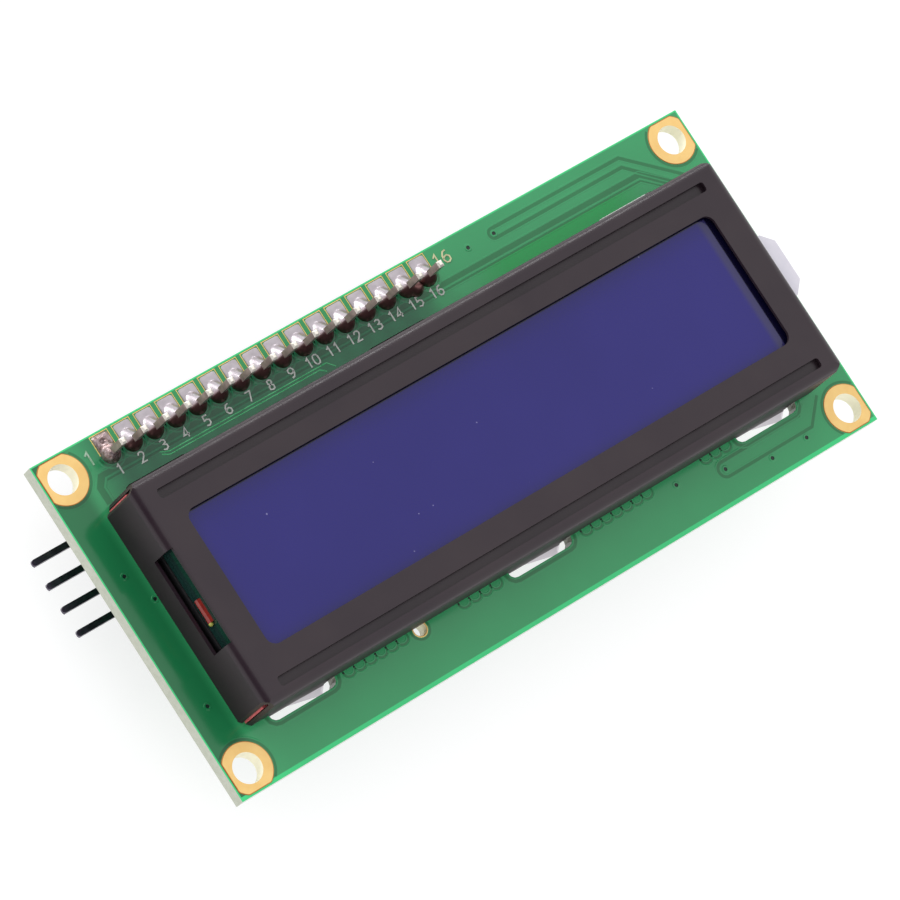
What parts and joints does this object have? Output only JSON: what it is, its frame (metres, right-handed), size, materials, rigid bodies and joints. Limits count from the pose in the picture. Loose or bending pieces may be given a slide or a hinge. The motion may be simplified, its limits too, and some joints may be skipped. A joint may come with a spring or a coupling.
{
  "type": "character lcd module",
  "caption": "Two-row character display with a blue window in a black folded bezel on a green circuit board, and a small serial adapter board soldered behind its pin row",
  "frame": {"origin": "middle of the four mounting holes, on the front face of the main board", "axes": "+Z out of the display, +X along the long side to the backlight's lamp end, +Y towards the row of sixteen pins"},
  "size_m": [0.081, 0.0358, 0.0172],
  "materials": {
    "board_green": "glass-fibre board under gloss green solder mask",
    "gold_plating": "thin gold over copper",
    "bezel_black": "satin black lacquer on sheet steel",
    "display_blue": "dark blue polarising film",
    "clear_glass": "float glass",
    "red_resin": "cured red resin",
    "pink_elastomer": "pink silicone rubber",
    "white_plastic": "white moulded plastic and film",
    "guide_plastic": "milky clear acrylic",
    "emitter_resin": "pale yellow lamp resin",
    "tinned_metal": "bright tin plating",
    "solder": "smooth solder",
    "black_plastic": "black moulded plastic",
    "black_resin": "black potting resin",
    "resistor_black": "dark glaze on ceramic",
    "capacitor_tan": "tan ceramic",
    "adapter_black": "glass-fibre board under black solder mask",
    "chip_black": "black moulding compound",
    "trimmer_blue": "blue moulded plastic",
    "clip_bronze": "spring bronze",
    "screw_brass": "turned brass"
  },
  "bodies": {
    "module": {"main_board": "board_green", "mounting_hole_lands": "gold_plating", "bezel": "bezel_black", "front_polarizer": "display_blue", "front_glass": "clear_glass", "rear_glass": "clear_glass", "rear_polarizer": "display_blue", "filling_port_seal": "red_resin", "upper_contact_strip": "pink_elastomer", "lower_contact_strip": "pink_elastomer", "reflector_film": "white_plastic", "light_guide": "guide_plastic", "diffuser_film": "white_plastic", "lamp_housing": "white_plastic", "light_emitters": "emitter_resin", "backlight_leads": "tinned_metal", "row_pins": "tinned_metal", "row_insulator": "black_plastic", "front_solder_joints": "solder", "rear_solder_joints": "solder", "backlight_solder_joints": "solder", "driver_resin_domes": "black_resin", "board_resistors": "resistor_black", "board_capacitors": "capacitor_tan", "adapter_board": "adapter_black", "expander_chip": "chip_black", "expander_leads": "tinned_metal", "driver_transistor": "chip_black", "transistor_leads": "tinned_metal", "trimmer_body": "trimmer_blue", "trimmer_pins": "tinned_metal", "connector_pins": "tinned_metal", "connector_insulator": "black_plastic", "jumper_pins": "tinned_metal", "jumper_insulator": "black_plastic", "jumper_cap": "black_plastic", "jumper_clip": "clip_bronze", "adapter_resistors": "resistor_black", "adapter_capacitors": "capacitor_tan", "power_light": "emitter_resin"},
    "trimmer_rotor": {"trimmer_screw": "screw_brass"}
  },
  "joints": [
    {"name": "contrast_adjustment", "type": "hinge", "parent": "module", "child": "trimmer_rotor", "pos_m": [-0.0018, 0.0046, -0.0105], "axis": [0, 0, -1], "range_deg": [-105, 105]}
  ]
}
